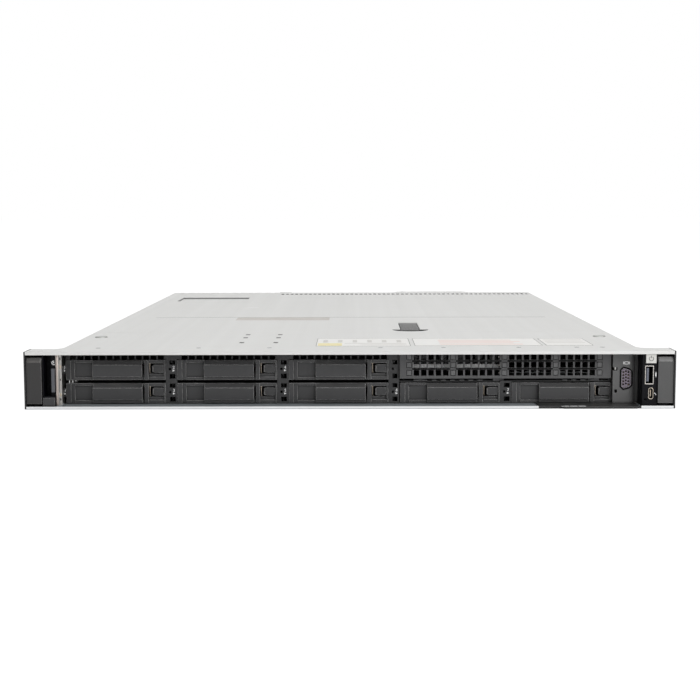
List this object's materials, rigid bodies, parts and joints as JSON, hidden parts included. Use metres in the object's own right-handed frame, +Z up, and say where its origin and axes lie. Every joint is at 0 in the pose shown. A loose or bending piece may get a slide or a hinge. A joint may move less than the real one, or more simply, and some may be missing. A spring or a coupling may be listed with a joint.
{
  "type": "rack server",
  "caption": "One-unit rack server with sliding top cover, front drive blanks, air grille, rack latches, pull-out tag, fans and rear power supplies.",
  "frame": {"origin": "middle of the overall width and length, at the bottom face of the chassis", "axes": "+X to the right seen from the front, +Y from the front lip to the rear, +Z up; the front faces -Y"},
  "size_m": [0.482, 0.7172, 0.0428],
  "materials": {
    "galvanised_sheet": "bare zinc-coated sheet, faint grain",
    "cover_sheet": "light grey satin coat, fine grain",
    "black_moulding": "fine-textured moulded plastic",
    "grey_moulding": "fine-textured moulded plastic",
    "blank_moulding": "fine-textured moulded plastic with glossy edges",
    "light_bar": "smooth translucent bar",
    "white_button": "smooth moulded cap",
    "connector_metal": "plated connector shell",
    "circuit_board": "solder-masked board",
    "fin_metal": "extruded fins",
    "screw_metal": "zinc-plated screws",
    "supply_case": "folded steel case",
    "release_moulding": "coloured release tab",
    "latch_moulding": "ribbed grip"
  },
  "bodies": {
    "chassis": {"chassis_tray": "galvanised_sheet", "rail_studs": "screw_metal", "front_top_panel": "cover_sheet", "screws": "screw_metal", "ear_left": "black_moulding", "ear_right": "black_moulding", "control_housings": "black_moulding", "vga_bezel": "grey_moulding", "front_ports": "connector_metal", "vent_grille": "grey_moulding", "drive_cage": "blank_moulding", "tag_guide": "black_moulding", "backplane": "circuit_board", "fan_frames": "black_moulding", "motherboard": "circuit_board", "heat_sinks": "fin_metal", "memory_modules": "circuit_board", "latch_anchor": "galvanised_sheet", "rear_wall": "galvanised_sheet", "expansion_brackets": "galvanised_sheet", "rear_ports": "connector_metal", "psu_bay": "galvanised_sheet"},
    "cover": {"cover": "cover_sheet", "latch_housing": "black_moulding"},
    "cover_latch": {"cover_latch": "latch_moulding"},
    "info_tag": {"info_tag": "black_moulding"},
    "power_button": {"power_button": "white_button"},
    "id_button": {"id_button": "light_bar"},
    "rack_latch_left": {"rack_latch_left": "grey_moulding"},
    "rack_latch_right": {"rack_latch_right": "grey_moulding"},
    "drive_blank_1": {"drive_blank_1": "blank_moulding"},
    "blank_latch_1": {"blank_latch_1": "blank_moulding"},
    "drive_blank_2": {"drive_blank_2": "blank_moulding"},
    "blank_latch_2": {"blank_latch_2": "blank_moulding"},
    "drive_blank_3": {"drive_blank_3": "blank_moulding"},
    "blank_latch_3": {"blank_latch_3": "blank_moulding"},
    "drive_blank_4": {"drive_blank_4": "blank_moulding"},
    "blank_latch_4": {"blank_latch_4": "blank_moulding"},
    "drive_blank_5": {"drive_blank_5": "blank_moulding"},
    "blank_latch_5": {"blank_latch_5": "blank_moulding"},
    "drive_blank_6": {"drive_blank_6": "blank_moulding"},
    "blank_latch_6": {"blank_latch_6": "blank_moulding"},
    "drive_blank_7": {"drive_blank_7": "blank_moulding"},
    "blank_latch_7": {"blank_latch_7": "blank_moulding"},
    "drive_blank_8": {"drive_blank_8": "blank_moulding"},
    "blank_latch_8": {"blank_latch_8": "blank_moulding"},
    "fan_rotor_1": {"fan_rotor_1": "black_moulding"},
    "fan_rotor_2": {"fan_rotor_2": "black_moulding"},
    "fan_rotor_3": {"fan_rotor_3": "black_moulding"},
    "fan_rotor_4": {"fan_rotor_4": "black_moulding"},
    "fan_rotor_5": {"fan_rotor_5": "black_moulding"},
    "fan_rotor_6": {"fan_rotor_6": "black_moulding"},
    "fan_rotor_7": {"fan_rotor_7": "black_moulding"},
    "fan_rotor_8": {"fan_rotor_8": "black_moulding"},
    "power_supply_1": {"power_supply_1": "supply_case", "supply_handle_1": "black_moulding"},
    "supply_latch_1": {"supply_latch_1": "release_moulding"},
    "power_supply_2": {"power_supply_2": "supply_case", "supply_handle_2": "black_moulding"},
    "supply_latch_2": {"supply_latch_2": "release_moulding"}
  },
  "joints": [
    {"name": "cover_slide", "type": "slide", "parent": "chassis", "child": "cover", "axis": [0, 1, 0], "range_m": [0, 0.012]},
    {"name": "cover_latch_hinge", "type": "hinge", "parent": "cover", "child": "cover_latch", "pos_m": [0.052, -0.11307, 0.0396], "axis": [-1, 0, 0], "range_deg": [0, 80]},
    {"name": "drive_blank_1_slide", "type": "slide", "parent": "chassis", "child": "drive_blank_1", "axis": [0, -1, 0], "range_m": [0, 0.1]},
    {"name": "blank_latch_1_squeeze", "type": "hinge", "parent": "drive_blank_1", "child": "blank_latch_1", "pos_m": [-0.1415, -0.30278, 0.0095], "axis": [0, 0, -1], "range_deg": [0, 4], "stiffness_Nm_per_rad": 0.2},
    {"name": "drive_blank_2_slide", "type": "slide", "parent": "chassis", "child": "drive_blank_2", "axis": [0, -1, 0], "range_m": [0, 0.1]},
    {"name": "blank_latch_2_squeeze", "type": "hinge", "parent": "drive_blank_2", "child": "blank_latch_2", "pos_m": [-0.0575, -0.30278, 0.0095], "axis": [0, 0, -1], "range_deg": [0, 4], "stiffness_Nm_per_rad": 0.2},
    {"name": "drive_blank_3_slide", "type": "slide", "parent": "chassis", "child": "drive_blank_3", "axis": [0, -1, 0], "range_m": [0, 0.1]},
    {"name": "blank_latch_3_squeeze", "type": "hinge", "parent": "drive_blank_3", "child": "blank_latch_3", "pos_m": [0.0265, -0.30278, 0.0095], "axis": [0, 0, -1], "range_deg": [0, 4], "stiffness_Nm_per_rad": 0.2},
    {"name": "drive_blank_4_slide", "type": "slide", "parent": "chassis", "child": "drive_blank_4", "axis": [0, -1, 0], "range_m": [0, 0.1]},
    {"name": "blank_latch_4_squeeze", "type": "hinge", "parent": "drive_blank_4", "child": "blank_latch_4", "pos_m": [0.1105, -0.30278, 0.0095], "axis": [0, 0, -1], "range_deg": [0, 4], "stiffness_Nm_per_rad": 0.2},
    {"name": "drive_blank_5_slide", "type": "slide", "parent": "chassis", "child": "drive_blank_5", "axis": [0, -1, 0], "range_m": [0, 0.1]},
    {"name": "blank_latch_5_squeeze", "type": "hinge", "parent": "drive_blank_5", "child": "blank_latch_5", "pos_m": [0.1945, -0.30278, 0.0095], "axis": [0, 0, -1], "range_deg": [0, 4], "stiffness_Nm_per_rad": 0.2},
    {"name": "drive_blank_6_slide", "type": "slide", "parent": "chassis", "child": "drive_blank_6", "axis": [0, -1, 0], "range_m": [0, 0.1]},
    {"name": "blank_latch_6_squeeze", "type": "hinge", "parent": "drive_blank_6", "child": "blank_latch_6", "pos_m": [-0.1415, -0.30278, 0.027], "axis": [0, 0, -1], "range_deg": [0, 4], "stiffness_Nm_per_rad": 0.2},
    {"name": "drive_blank_7_slide", "type": "slide", "parent": "chassis", "child": "drive_blank_7", "axis": [0, -1, 0], "range_m": [0, 0.1]},
    {"name": "blank_latch_7_squeeze", "type": "hinge", "parent": "drive_blank_7", "child": "blank_latch_7", "pos_m": [-0.0575, -0.30278, 0.027], "axis": [0, 0, -1], "range_deg": [0, 4], "stiffness_Nm_per_rad": 0.2},
    {"name": "drive_blank_8_slide", "type": "slide", "parent": "chassis", "child": "drive_blank_8", "axis": [0, -1, 0], "range_m": [0, 0.1]},
    {"name": "blank_latch_8_squeeze", "type": "hinge", "parent": "drive_blank_8", "child": "blank_latch_8", "pos_m": [0.0265, -0.30278, 0.027], "axis": [0, 0, -1], "range_deg": [0, 4], "stiffness_Nm_per_rad": 0.2},
    {"name": "info_tag_slide", "type": "slide", "parent": "chassis", "child": "info_tag", "axis": [0, -1, 0], "range_m": [0, 0.085]},
    {"name": "power_button_press", "type": "slide", "parent": "chassis", "child": "power_button", "axis": [0, 1, 0], "range_m": [0, 0.0012], "stiffness_N_per_m": 800},
    {"name": "id_button_press", "type": "slide", "parent": "chassis", "child": "id_button", "axis": [0, 1, 0], "range_m": [0, 0.0008], "stiffness_N_per_m": 800},
    {"name": "rack_latch_left_hinge", "type": "hinge", "parent": "chassis", "child": "rack_latch_left", "pos_m": [-0.2337, -0.35208, 0.036], "axis": [-1, 0, 0], "range_deg": [0, 40], "stiffness_Nm_per_rad": 0.02},
    {"name": "rack_latch_right_hinge", "type": "hinge", "parent": "chassis", "child": "rack_latch_right", "pos_m": [0.2337, -0.35208, 0.036], "axis": [-1, 0, 0], "range_deg": [0, 40], "stiffness_Nm_per_rad": 0.02},
    {"name": "power_supply_1_slide", "type": "slide", "parent": "chassis", "child": "power_supply_1", "axis": [0, 1, 0], "range_m": [0, 0.18]},
    {"name": "supply_latch_1_squeeze", "type": "hinge", "parent": "power_supply_1", "child": "supply_latch_1", "pos_m": [-0.1732, 0.31357, 0.021], "axis": [0, 0, 1], "range_deg": [0, 8], "stiffness_Nm_per_rad": 0.3},
    {"name": "power_supply_2_slide", "type": "slide", "parent": "chassis", "child": "power_supply_2", "axis": [0, 1, 0], "range_m": [0, 0.18]},
    {"name": "supply_latch_2_squeeze", "type": "hinge", "parent": "power_supply_2", "child": "supply_latch_2", "pos_m": [-0.1128, 0.31357, 0.021], "axis": [0, 0, 1], "range_deg": [0, 8], "stiffness_Nm_per_rad": 0.3},
    {"name": "fan_rotor_1_spin", "type": "hinge", "parent": "chassis", "child": "fan_rotor_1", "pos_m": [-0.1835, -0.16608, 0.0212], "axis": [0, 1, 0], "continuous": true},
    {"name": "fan_rotor_2_spin", "type": "hinge", "parent": "chassis", "child": "fan_rotor_2", "pos_m": [-0.1365, -0.16608, 0.0212], "axis": [0, 1, 0], "continuous": true},
    {"name": "fan_rotor_3_spin", "type": "hinge", "parent": "chassis", "child": "fan_rotor_3", "pos_m": [-0.0895, -0.16608, 0.0212], "axis": [0, 1, 0], "continuous": true},
    {"name": "fan_rotor_4_spin", "type": "hinge", "parent": "chassis", "child": "fan_rotor_4", "pos_m": [-0.0425, -0.16608, 0.0212], "axis": [0, 1, 0], "continuous": true},
    {"name": "fan_rotor_5_spin", "type": "hinge", "parent": "chassis", "child": "fan_rotor_5", "pos_m": [0.0045, -0.16608, 0.0212], "axis": [0, 1, 0], "continuous": true},
    {"name": "fan_rotor_6_spin", "type": "hinge", "parent": "chassis", "child": "fan_rotor_6", "pos_m": [0.0955, -0.16608, 0.0212], "axis": [0, 1, 0], "continuous": true},
    {"name": "fan_rotor_7_spin", "type": "hinge", "parent": "chassis", "child": "fan_rotor_7", "pos_m": [0.1425, -0.16608, 0.0212], "axis": [0, 1, 0], "continuous": true},
    {"name": "fan_rotor_8_spin", "type": "hinge", "parent": "chassis", "child": "fan_rotor_8", "pos_m": [0.1895, -0.16608, 0.0212], "axis": [0, 1, 0], "continuous": true}
  ],
  "couplings": [
    {"joint": "cover_latch_hinge", "follows": "cover_slide", "rad_per_m": 116.3}
  ]
}
